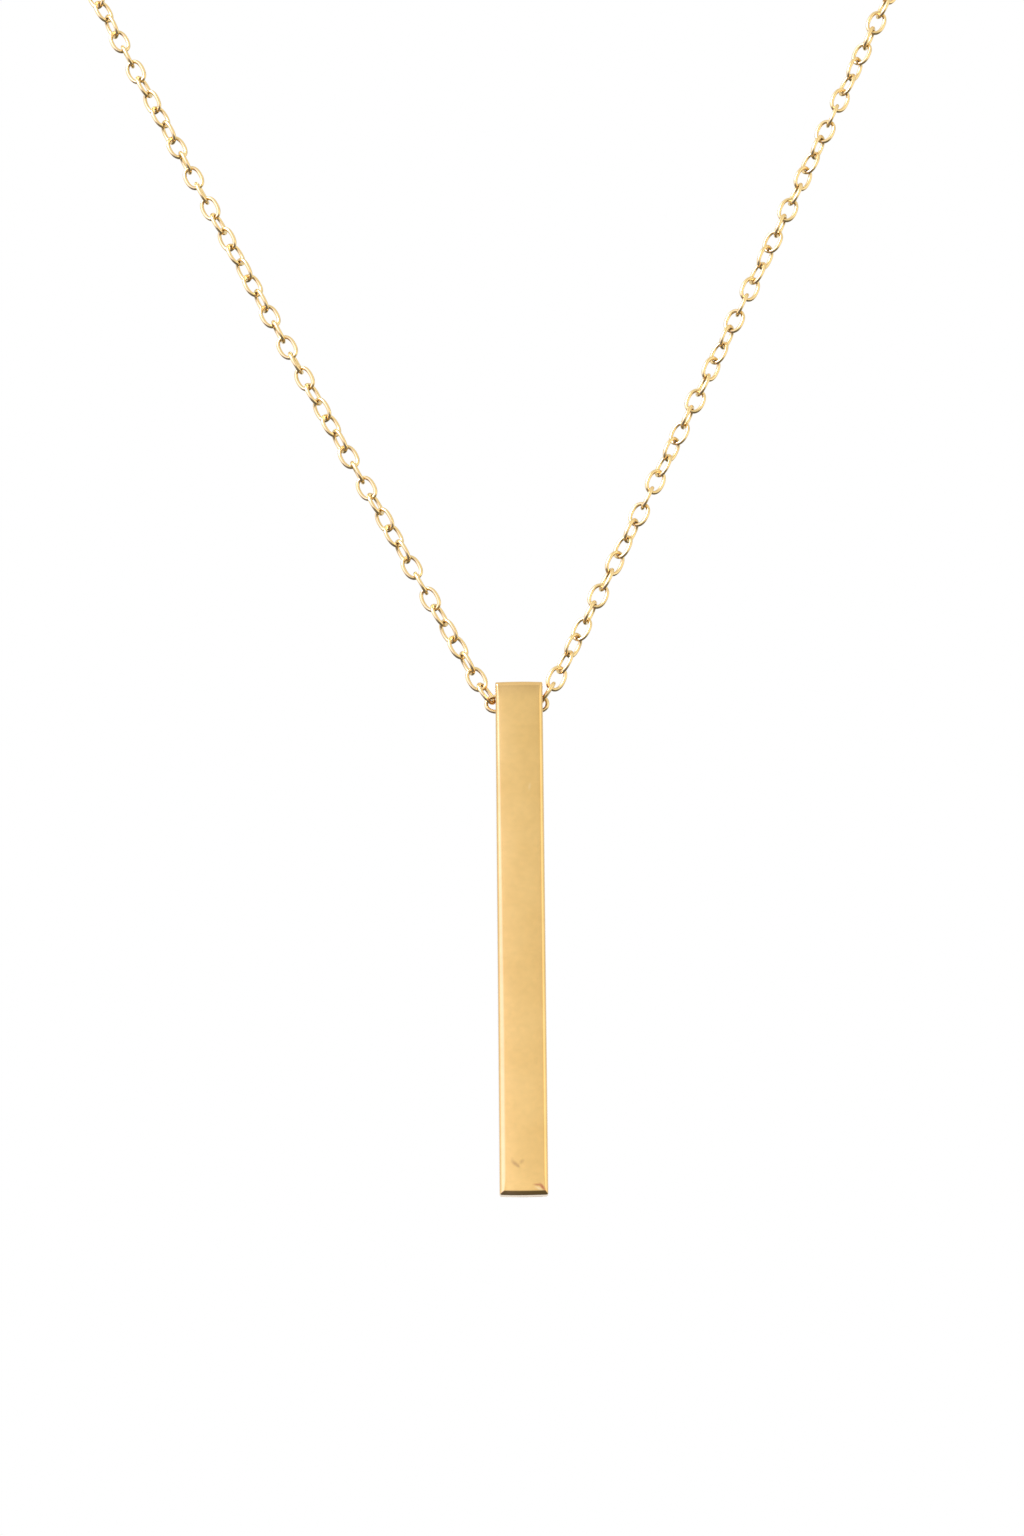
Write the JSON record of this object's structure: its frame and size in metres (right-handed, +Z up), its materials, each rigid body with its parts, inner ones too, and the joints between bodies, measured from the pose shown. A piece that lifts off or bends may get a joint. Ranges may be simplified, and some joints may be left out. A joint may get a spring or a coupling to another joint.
{
  "type": "bar pendant necklace",
  "caption": "Slim four-sided vertical bar, drilled side to side near its top, hanging on a whole loop of fine oval-link cable chain.",
  "frame": {"origin": "underside of the clasp's ring, in the middle of the back of the neck, where the necklace sits on its wearer", "axes": "+Z up along the hanging bar, -Y the wearer's front, +X to the viewer's right from the front"},
  "size_m": [0.1143, 0.0056, 0.2138],
  "materials": {
    "bar_gold": "polished",
    "chain_gold": "polished"
  },
  "bodies": {
    "necklace": {"chain_front": "chain_gold", "chain_back": "chain_gold", "clasp": "chain_gold"},
    "bar": {"bar": "bar_gold"}
  },
  "joints": [
    {"name": "bar_swing", "type": "hinge", "parent": "necklace", "child": "bar", "pos_m": [0.0024, 0, -0.18196], "axis": [1, 0, 0], "range_deg": [-90, 90]}
  ]
}
